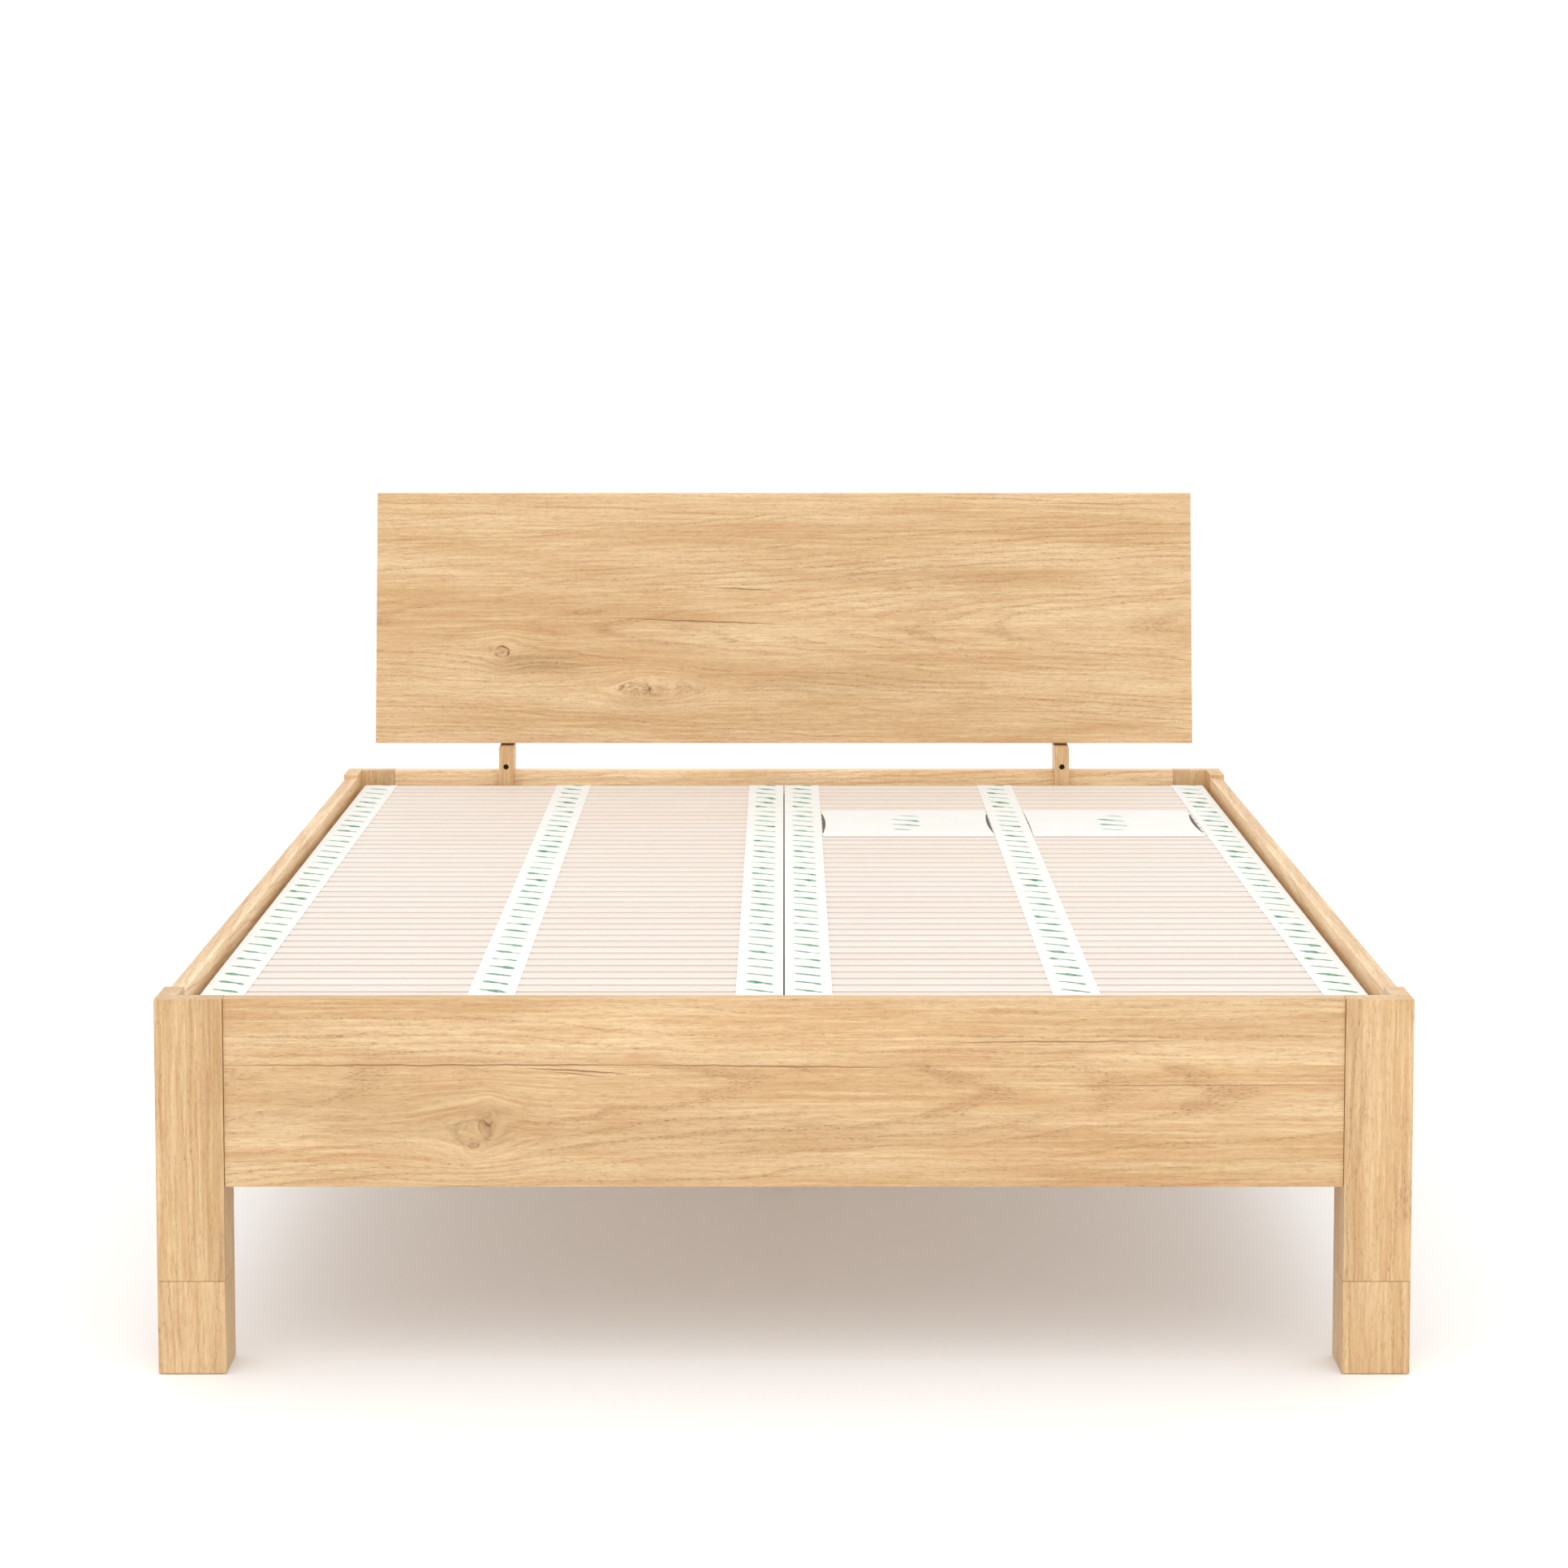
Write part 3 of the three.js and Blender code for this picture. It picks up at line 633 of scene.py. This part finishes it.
# ==== Screws ====
def first_screw(material):
    """A pan head with a round driver socket, its seat on the origin, facing up."""
    bpy.ops.object.select_all(action="DESELECT")
    middle_height = SCREW_HEAD_HEIGHT / 2
    bpy.ops.mesh.primitive_cylinder_add(
        vertices=SCREW_SIDES, radius=SCREW_HEAD_RADIUS, depth=SCREW_HEAD_HEIGHT,
        location=(0, 0, middle_height),
    )
    screw = bpy.context.object
    bpy.ops.object.transform_apply(location=True, rotation=True, scale=True)
    bpy.ops.object.mode_set(mode="EDIT")
    bpy.ops.mesh.select_mode(type="FACE")
    bpy.ops.mesh.select_all(action="DESELECT")
    bpy.ops.object.mode_set(mode="OBJECT")
    for face in screw.data.polygons:
        face.select = face.normal.z > FACING_UP
    bpy.ops.object.mode_set(mode="EDIT")
    bpy.ops.mesh.bevel(offset=SCREW_BEVEL, segments=2, affect="EDGES")
    bpy.ops.mesh.select_all(action="DESELECT")
    bpy.ops.object.mode_set(mode="OBJECT")
    for face in screw.data.polygons:
        face.select = face.normal.z > FACING_UP
    bpy.ops.object.mode_set(mode="EDIT")
    bpy.ops.mesh.inset(thickness=SCREW_HEAD_RADIUS - SCREW_BEVEL - SCREW_SOCKET_RADIUS)
    bpy.ops.mesh.extrude_region_move(TRANSFORM_OT_translate={"value": (0, 0, -SCREW_SOCKET_DEPTH)})
    bpy.ops.object.mode_set(mode="OBJECT")
    bpy.ops.object.shade_smooth_by_angle(angle=SCREW_SMOOTH)
    screw.data.materials.append(material)
    return screw


def set_screw(model, name, seat, facing):
    """A copy of the screw, seated at a point and facing along a direction."""
    screw = model.copy()
    screw.data = model.data.copy()
    screw.name = name
    bpy.context.collection.objects.link(screw)
    turn = Vector(facing).to_track_quat("Z", "Y").to_matrix().to_4x4()
    screw.data.transform(Matrix.Translation(seat) @ turn)
    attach(screw, "frame")


def add_angle_screws(model, corner):
    """Two screws through each angle's wooden leg: into the end board, and into the side rail."""
    low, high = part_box(corner + "_board_angle")
    inward = 1.0 if "foot" in corner else -1.0
    face = low.y + PLATE if inward > 0 else high.y - PLATE
    for number, drop in enumerate(ANGLE_SCREW_DROPS):
        seat = ((low.x + high.x) / 2, face, high.z - drop)
        set_screw(model, f"{corner}_board_screw_{number + 1}", seat, (0, inward, 0))
    low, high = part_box(corner + "_rail_angle")
    inward = 1.0 if "left" in corner else -1.0
    face = low.x + PLATE if inward > 0 else high.x - PLATE
    for number, drop in enumerate(ANGLE_SCREW_DROPS):
        seat = (face, (low.y + high.y) / 2, high.z - drop)
        set_screw(model, f"{corner}_rail_screw_{number + 1}", seat, (inward, 0, 0))


def add_screws(zinc):
    model = first_screw(zinc)
    for corner in CORNERS:
        add_angle_screws(model, corner)
    for end, inward in (("foot", 1.0), ("head", -1.0)):
        low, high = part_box(end + "_beam_hanger")
        face = low.y + PLATE if inward > 0 else high.y - PLATE
        columns = (low.x + HANGER_SCREW_SIDE, high.x - HANGER_SCREW_SIDE)
        rows = (low.z + HANGER_SCREW_END, high.z - HANGER_SCREW_END)
        seats = [(x, z) for x in columns for z in rows]
        for number, (x, z) in enumerate(seats):
            set_screw(model, f"{end}_hanger_screw_{number + 1}", (x, face, z), (0, inward, 0))
    for side, inward in (("left", 1.0), ("right", -1.0)):
        low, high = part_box(side + "_ledger")
        face = high.x if inward > 0 else low.x
        pitch = (high.y - low.y) / LEDGER_SCREWS
        for number in range(LEDGER_SCREWS):
            seat = (face, low.y + (number + 0.5) * pitch, (low.z + high.z) / 2)
            set_screw(model, f"{side}_ledger_screw_{number + 1}", seat, (inward, 0, 0))
    add_panel_screws(model)
    bpy.data.objects.remove(model)


def add_panel_screws(model):
    """Three screws through each upright into the panel's back."""
    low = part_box("headboard_panel")[0]
    foot = Vector((0, low.y, low.z + PANEL_THICKNESS * math.sin(PANEL_RECLINE)))
    up = Vector((0, math.sin(PANEL_RECLINE), math.cos(PANEL_RECLINE)))
    back = Vector((0, math.cos(PANEL_RECLINE), -math.sin(PANEL_RECLINE)))
    for side in ("left", "right"):
        across = Vector((middle(side + "_headboard_upright").x, 0, 0))
        for number, reach in enumerate(PANEL_SCREW_REACHES):
            seat = across + foot + up * reach + back * (PANEL_THICKNESS + FIT_GAP + UPRIGHT_DEPTH)
            set_screw(model, f"{side}_panel_screw_{number + 1}", seat, back)


# ==== Slat mats ====
SLAT_RELIEF = 0.00012
CLOTH_RELIEF = 0.00012
SLIT_SHADE_RELIEF = 0.0001


def block(name, low, high, ease):
    """A cube pulled out between two corners, with rounded edges."""
    bpy.ops.object.select_all(action="DESELECT")
    low, high = Vector(low), Vector(high)
    bpy.ops.mesh.primitive_cube_add(size=1, location=(low + high) / 2, scale=high - low)
    made = bpy.context.object
    made.name = name
    bpy.ops.object.transform_apply(location=True, rotation=True, scale=True)
    bevel = made.modifiers.new("eased", "BEVEL")
    bevel.width = ease
    bevel.segments = 2
    bpy.ops.object.modifier_apply(modifier=bevel.name)
    bpy.ops.object.shade_smooth_by_angle(angle=CLOTH_SMOOTH)
    return made


def slat_material(foot):
    """Pale planed softwood, each slat with its own tint and its own fine straight grain, and painted
    shade along its long edges by the gaps between slats.
    """
    material, tree, shader = new_material("slat_wood", Specular_IOR_Level=0.35)
    where = put(tree, "TexCoord").outputs["Object"]
    place = split_up(tree, where)
    number = maths(tree, "FLOOR", maths(tree, "DIVIDE", less(tree, place["Y"], foot), SLAT_PITCH))
    side = product(tree, maths(tree, "GREATER_THAN", place["X"], 0.0), RIGHT_SLAT_SEED)
    which = total(tree, number, side)
    chance = put(tree, "TexWhiteNoise", {"W": which}, noise_dimensions="1D").outputs["Value"]
    moved = vectors(tree, "ADD", where, combined(tree, product(tree, which, 2.3), which, which))
    lines = ranged(tree, noise(tree, moved, (3.0, 260, 260), 3.0, 0.6), 0.35, 0.7)
    fine = ranged(tree, noise(tree, moved, (20, 900, 900), 2.0), 0.45, 0.7)
    patchy = ranged(tree, noise(tree, moved, (4, 20, 20), 2.0), 0.3, 0.7)
    chalk = srgb(234, 226, 218)
    rosy = srgb(232, 220, 210)
    cream = srgb(236, 229, 217)
    grain = srgb(218, 196, 180)
    fine_grain = srgb(210, 188, 168)
    painted_gap_shade = srgb(176, 154, 142)
    colour = tinted(tree, chance, chalk, rosy)
    colour = tinted(tree, product(tree, patchy, 0.35), colour, cream)
    colour = tinted(tree, product(tree, lines, 0.16), colour, grain)
    colour = tinted(tree, product(tree, fine, 0.12), colour, fine_grain)
    # Painted shade: each slat darkens towards its long edges, by the gaps between slats.
    along = maths(tree, "MODULO", less(tree, place["Y"], foot), SLAT_PITCH)
    inset = maths(tree, "MINIMUM", along, less(tree, SLAT_WIDTH, along))
    edge = ranged(tree, inset, 0.0004, SLAT_EASE, 1.0, 0.0)
    colour = tinted(tree, product(tree, edge, 0.42), colour, painted_gap_shade)
    height = less(tree, 1.0, product(tree, total(tree, lines, fine), 0.5))
    set_surface(tree, shader, colour, ranged(tree, lines, 0, 1, 0.52, 0.64), height, SLAT_RELIEF)
    return material


def slat_count(low, high):
    return round((high.y - low.y + SLAT_GAP) / SLAT_PITCH)


def add_slats(side, material):
    """The slats of one mat, all copies of its first one. Returns the height of their tops."""
    low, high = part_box(side + "_slat_mat")
    top = high.z - TAPE_RISE
    near = (low.x, low.y, top - SLAT_THICKNESS)
    far = (high.x, low.y + SLAT_WIDTH, top)
    first = block(side + "_slat_01", near, far, SLAT_EASE)
    first.data.materials.append(material)
    slats = [first]
    for number in range(1, slat_count(low, high)):
        slat = first.copy()
        slat.data = first.data.copy()
        slat.data.transform(Matrix.Translation((0, number * SLAT_PITCH, 0)))
        slat.name = f"{side}_slat_{number + 1:02d}"
        bpy.context.collection.objects.link(slat)
        slats.append(slat)
    for slat in slats:
        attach(slat, side + "_mat")
    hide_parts(side + "_slat_mat")
    return top


def cloth_grid(name, xs, ys, shape, thickness, material):
    """A sheet with a vertex at each given place, laid by shape(x, y), with its thickness upward."""
    points = [shape(x, y) for y in ys for x in xs]
    wide = len(xs)
    faces = [
        (row * wide + i, row * wide + i + 1, (row + 1) * wide + i + 1, (row + 1) * wide + i)
        for row in range(len(ys) - 1)
        for i in range(wide - 1)
    ]
    mesh = bpy.data.meshes.new(name)
    mesh.from_pydata(points, [], faces)
    sheet = bpy.data.objects.new(name, mesh)
    bpy.context.collection.objects.link(sheet)
    bpy.ops.object.select_all(action="DESELECT")
    bpy.context.view_layer.objects.active = sheet
    sheet.select_set(True)
    solid = sheet.modifiers.new("thickness", "SOLIDIFY")
    solid.thickness = thickness
    solid.offset = 1.0
    bpy.ops.object.modifier_apply(modifier=solid.name)
    bpy.ops.object.shade_smooth_by_angle(angle=CLOTH_SMOOTH)
    mesh.materials.append(material)
    return sheet


def steps(low, high, count):
    """Evenly spaced places from low to high, both included."""
    return [low + (high - low) * i / count for i in range(count + 1)]


def weave_group():
    """Plain weave: threads over and under each other, Thread metres wide."""
    inputs = [("Place", "Vector"), ("Thread", "Float")]
    tree, coming, going = new_group("weave", inputs, [("Height", "Float")])
    turns = maths(tree, "DIVIDE", math.pi, coming["Thread"])
    place = split_up(tree, coming["Place"])
    along = maths(tree, "SINE", product(tree, place["X"], turns))
    across = maths(tree, "SINE", product(tree, place["Y"], turns))
    crossing = product(tree, along, across)
    uneven = noise(tree, coming["Place"], (700, 700, 700), 2.0)
    height = total(tree, product(tree, crossing, 0.35), product(tree, uneven, 0.3))
    feed(tree, going["Height"], total(tree, height, 0.35))
    return tree


def dash_group():
    """Slanting brush dashes one above the other, each swelling and thinning by chance."""
    inputs = [("Place", "Vector"), ("Pitch", "Float"), ("Reach", "Float"), ("Seed", "Float")]
    tree, coming, going = new_group("brush_dashes", inputs, [("Ink", "Float")])
    place = split_up(tree, coming["Place"])
    leaning = total(tree, place["Y"], product(tree, place["X"], DASH_LEAN))
    bow = product(tree, maths(tree, "POWER", place["X"], 2.0), DASH_BOW)
    rows = maths(tree, "DIVIDE", total(tree, leaning, bow), coming["Pitch"])
    row = maths(tree, "FLOOR", rows)
    off = product(tree, less(tree, maths(tree, "FRACT", rows), 0.5), coming["Pitch"])
    seeded = total(tree, row, product(tree, coming["Seed"], DASH_SEED_STEP))
    hashed = put(tree, "TexWhiteNoise", {"W": seeded}, noise_dimensions="1D").outputs["Color"]
    chance = put(tree, "SeparateColor", {"Color": hashed}).outputs
    across = maths(tree, "DIVIDE", place["X"], coming["Reach"])
    drift = total(tree, product(tree, seeded, DASH_DRIFT), product(tree, chance["Red"], 0.2))
    crown = ranged(tree, maths(tree, "FRACT", drift), 0, 1, -0.75, 0.75, smooth=False)
    from_crown = less(tree, across, crown)
    hump = maths(tree, "EXPONENT", product(tree, maths(tree, "POWER", from_crown, 2.0), -5.0))
    rise = product(tree, hump, ranged(tree, chance["Green"], 0.1, 0.9, 0.0, DASH_SWELL, smooth=False))
    uneven = noise(tree, coming["Place"], (500, 500, 500), 2.0)
    ragged = ranged(tree, uneven, 0, 1, 0.75, 1.25, smooth=False)
    taper = ranged(tree, maths(tree, "ABSOLUTE", across), 0.72, 1.0, 1.0, 0.0)
    width = product(tree, total(tree, rise, DASH_THIN), product(tree, ragged, taper))
    share = maths(tree, "DIVIDE", maths(tree, "ABSOLUTE", off), total(tree, width, 1e-6))
    feed(tree, going["Ink"], ranged(tree, share, 0.75, 1.05, 1.0, 0.0))
    return tree


def cloth_material(name, centre, reach, seed, thread, rows=None):
    """White woven cloth with painted shade between its threads and printed green dashes, or only so many
    rows of dashes about the centre.
    """
    finish = {"Specular_IOR_Level": 0.2, "Sheen_Weight": 0.15, "Sheen_Roughness": 0.5}
    material, tree, shader = new_material(name, **finish)
    where = put(tree, "TexCoord").outputs["Object"]
    place = put(tree, "Mapping", {"Vector": where, "Location": -centre}).outputs[0]
    woven = use_group(tree, weave, Place=place, Thread=thread)["Height"]
    soiled = ranged(tree, noise(tree, place, (14, 14, 14), 3.0), 0.3, 0.7)
    white = srgb(239, 240, 238)
    worn_white = srgb(236, 237, 232)
    thread_shade = srgb(221, 217, 207)
    green = srgb(2, 130, 72)
    colour = tinted(tree, soiled, white, worn_white)
    # Painted shade between the threads, where the weave lies low.
    painted_thread_shade = product(tree, ranged(tree, woven, 0, 1, 1.0, 0.0), 0.18)
    colour = tinted(tree, painted_thread_shade, colour, thread_shade)
    made = use_group(tree, dashes, Place=place, Pitch=PRINT_PITCH, Reach=reach, Seed=seed)
    ink = made["Ink"]
    if rows:
        along = maths(tree, "ABSOLUTE", split_up(tree, place)["Y"])
        ink = product(tree, ink, maths(tree, "LESS_THAN", along, rows * PRINT_PITCH / 2))
    faded = ranged(tree, noise(tree, place, (70, 25, 25), 2.0), 0.35, 0.65, 0.7, 1.0)
    colour = tinted(tree, product(tree, ink, faded), colour, green)
    set_surface(tree, shader, colour, ranged(tree, woven, 0, 1, 0.9, 0.78), woven, CLOTH_RELIEF)
    return material


def add_tapes(side, top):
    """Three tapes over the slats of one mat: one at each end of the slats and one in the middle."""
    low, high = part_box(side + "_slat_mat")
    count = slat_count(low, high)
    on_slat = (0.0, SLAT_EASE, SLAT_WIDTH / 2, SLAT_WIDTH - SLAT_EASE, SLAT_WIDTH)
    on_slat += (SLAT_WIDTH + SLAT_GAP / 2,)
    ys = [low.y + number * SLAT_PITCH + step for number in range(count) for step in on_slat][:-1]

    def lying(x, y):
        along = (y - low.y) % SLAT_PITCH
        edge = min(along, abs(SLAT_WIDTH - along))
        edge_dip = TAPE_SAG * TAPE_EDGE_DIP * (edge < SAME_PLACE)
        dip = TAPE_SAG if along > SLAT_WIDTH + SAME_PLACE else edge_dip
        return (x, y, top + TAPE_LIFT - dip)

    for number, share in enumerate((0.0, 0.5, 1.0)):
        outermost = number == (0 if side == "left" else 2)
        wide = OUTER_TAPE_WIDTH if outermost else TAPE_WIDTH
        inset = OUTER_TAPE_INSET if outermost else 0.0
        left = low.x + inset + (high.x - low.x - wide - 2 * inset) * share
        centre = Vector((left + wide / 2, low.y, top))
        name = f"{side}_tape_{number + 1}"
        seed = number * TAPE_SEED_STEP + (side == "right") * RIGHT_TAPE_SEED
        material = cloth_material(name + "_cloth", centre, TAPE_PRINT_REACH, seed, TAPE_THREAD)
        tape = cloth_grid(name, steps(left, left + wide, 3), ys, lying, TAPE_THICKNESS, material)
        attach(tape, side + "_mat")


def slit_shade_material():
    """Dark knitted cloth, seen in the slits at the covers' ends: painted shade."""
    material, tree, shader = new_material("slit_shade_cloth", Specular_IOR_Level=0.2, Sheen_Weight=0.2)
    where = put(tree, "TexCoord").outputs["Object"]
    knitted = use_group(tree, weave, Place=where, Thread=SLIT_SHADE_THREAD)["Height"]
    colour = tinted(tree, knitted, srgb(58, 50, 44), srgb(96, 86, 78))
    rough = ranged(tree, knitted, 0, 1, 0.95, 0.8)
    set_surface(tree, shader, colour, rough, knitted, SLIT_SHADE_RELIEF)
    return material


def add_slit_shade(name, x, y, top, material):
    """A strip of dark cloth on the slats, below one end of a cover: painted shade in its slit."""
    half = SLIT_SHADE_LENGTH / 2
    xs = steps(x - SLIT_SHADE_WIDTH / 2, x + SLIT_SHADE_WIDTH / 2, 4)
    ys = steps(y - half, y + half, 40)

    def lying(px, py):
        return (px, py, top + TAPE_LIFT)

    slit_shade_strip = cloth_grid(name, xs, ys, lying, SLIT_SHADE_THICKNESS, material)
    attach(slit_shade_strip, "right_mat")


def add_cover(place, top, seed, left_crack, right_crack):
    """A shoulder cover between two tapes. Its ends curl away from the tapes by the given shares."""
    node = place + "_shoulder_cover"
    low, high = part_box(node)
    centre = (low + high) / 2
    half = (high - low) / 2
    material = cloth_material(node + "_cloth", centre, COVER_PRINT_REACH, seed, COVER_THREAD, rows=3)

    def lying(x, y):
        across = (x - centre.x) / half.x
        along = (y - centre.y) / half.y
        bend = max(0.0, math.cos(along * math.pi / COVER_CURL_SPAN))
        curl = COVER_CRACK * bend * abs(across) ** COVER_CURL_POWER
        curl *= left_crack if across < 0 else -right_crack
        rise = COVER_BILLOW * (1 - across ** COVER_EDGE_POWER) * (1 - along ** COVER_EDGE_POWER)
        rise *= 0.6 + 0.4 * math.sin(9 * across + 2 * along + seed) * math.cos(5 * along + seed)
        seam = (half.y - abs(y - centre.y) - COVER_HEM) / SEAM_WIDTH
        rise += SEAM_DEPTH * (1 - math.exp(-seam * seam)) - SEAM_DEPTH
        return (x + curl, y, top + COVER_LIFT + rise)

    xs = steps(low.x, high.x, 48)
    hem = steps(0.0, COVER_HEM + HEM_BAND, 6)
    inner = steps(low.y + COVER_HEM + HEM_BAND, high.y - COVER_HEM - HEM_BAND, 34)
    ys = [low.y + inset for inset in hem[:-1]] + inner + [high.y - inset for inset in hem[-2::-1]]
    cover = cloth_grid(place + "_cover", xs, ys, lying, COVER_THICKNESS, material)
    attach(cover, "right_mat")
    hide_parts(node)


def add_beam_shade_strip():
    """A thin dark felt-textured strip along the centre beam's top: painted shade in the slot between the
    two mats.
    """
    low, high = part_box("centre_beam")
    left, right = low.x + SHADE_STRIP_INSET, high.x - SHADE_STRIP_INSET
    near, far = low.y + SHADE_STRIP_INSET, high.y - SHADE_STRIP_INSET

    def lying(x, y):
        return (x, y, high.z + SHADE_STRIP_LIFT)

    felt = felt_material("beam_shade_felt", srgb(38, 34, 31), srgb(58, 53, 49), 0.0)
    xs = steps(left, right, 4)
    ys = steps(near, far, 40)
    strip = cloth_grid("beam_shade_strip", xs, ys, lying, SHADE_STRIP_THICKNESS, felt)
    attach(strip, "frame")


def add_mats():
    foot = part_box("left_slat_mat")[0].y
    wood = slat_material(foot)
    for side in ("left", "right"):
        top = add_slats(side, wood)
        add_tapes(side, top)
    add_cover("inner", top, 1.0, 1.0, 1.0)
    add_cover("outer", top, 4.0, 0.15, 1.2)
    # Dark strips under the covers' ends, as painted shade in the slits.
    dark = slit_shade_material()
    for place in ("inner", "outer"):
        low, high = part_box(place + "_shoulder_cover")
        y = (low.y + high.y) / 2
        add_slit_shade(place + "_left_lining", low.x + SLIT_SHADE_WIDTH / 2, y, top, dark)
        add_slit_shade(place + "_right_lining", high.x - SLIT_SHADE_WIDTH / 2, y, top, dark)


weave = weave_group()
dashes = dash_group()


# ==== Camera and studio ====
def add_camera():
    data = bpy.data.cameras.new("camera")
    camera = bpy.data.objects.new("camera", data)
    bpy.context.collection.objects.link(camera)
    camera.location = (0.0, cad_low.y - CAMERA_REACH, CAMERA_HEIGHT)
    camera.rotation_euler = (math.pi / 2 - CAMERA_PITCH, 0.0, 0.0)
    data.lens = CAMERA_LENS_MM
    data.shift_y = CAMERA_SHIFT
    data.clip_end = CAMERA_SIGHT
    bpy.context.scene.camera = camera


def add_studio():
    scene = bpy.context.scene
    scene.view_settings.view_transform = "Standard"
    world = bpy.data.worlds.new("studio")
    scene.world = world
    world.use_nodes = True
    background = world.node_tree.nodes["Background"]
    background.inputs["Color"].default_value = WHITE
    background.inputs["Strength"].default_value = STUDIO_WHITE

    bpy.ops.object.select_all(action="DESELECT")
    bpy.ops.mesh.primitive_plane_add(size=FLOOR_SIZE, location=(0, 0, cad_low.z - FIT_GAP))
    floor = bpy.context.object
    floor.name = "floor"
    material, _, shader = new_material("pale_floor", Roughness=0.6, Specular_IOR_Level=0.2)
    shader.inputs["Base Color"].default_value = FLOOR_COLOUR
    shader.inputs["Emission Color"].default_value = GLOW_COLOUR
    shader.inputs["Emission Strength"].default_value = FLOOR_GLOW
    floor.data.materials.append(material)

    data = bpy.data.lights.new("softbox", "AREA")
    data.shape = "RECTANGLE"
    data.size, data.size_y = SOFTBOX_SIZE
    data.energy = SOFTBOX_WATTS
    softbox = bpy.data.objects.new("softbox", data)
    bpy.context.collection.objects.link(softbox)
    softbox.location = SOFTBOX_PLACE
    aim = Vector(SOFTBOX_AIM) - softbox.location
    softbox.rotation_euler = aim.to_track_quat("-Z", "Y").to_euler()


add_camera()
add_studio()
add_foot_board()
add_headboard_panel()
add_rest_of_oak()
add_screws(add_fittings())
add_mats()
add_beam_shade_strip()
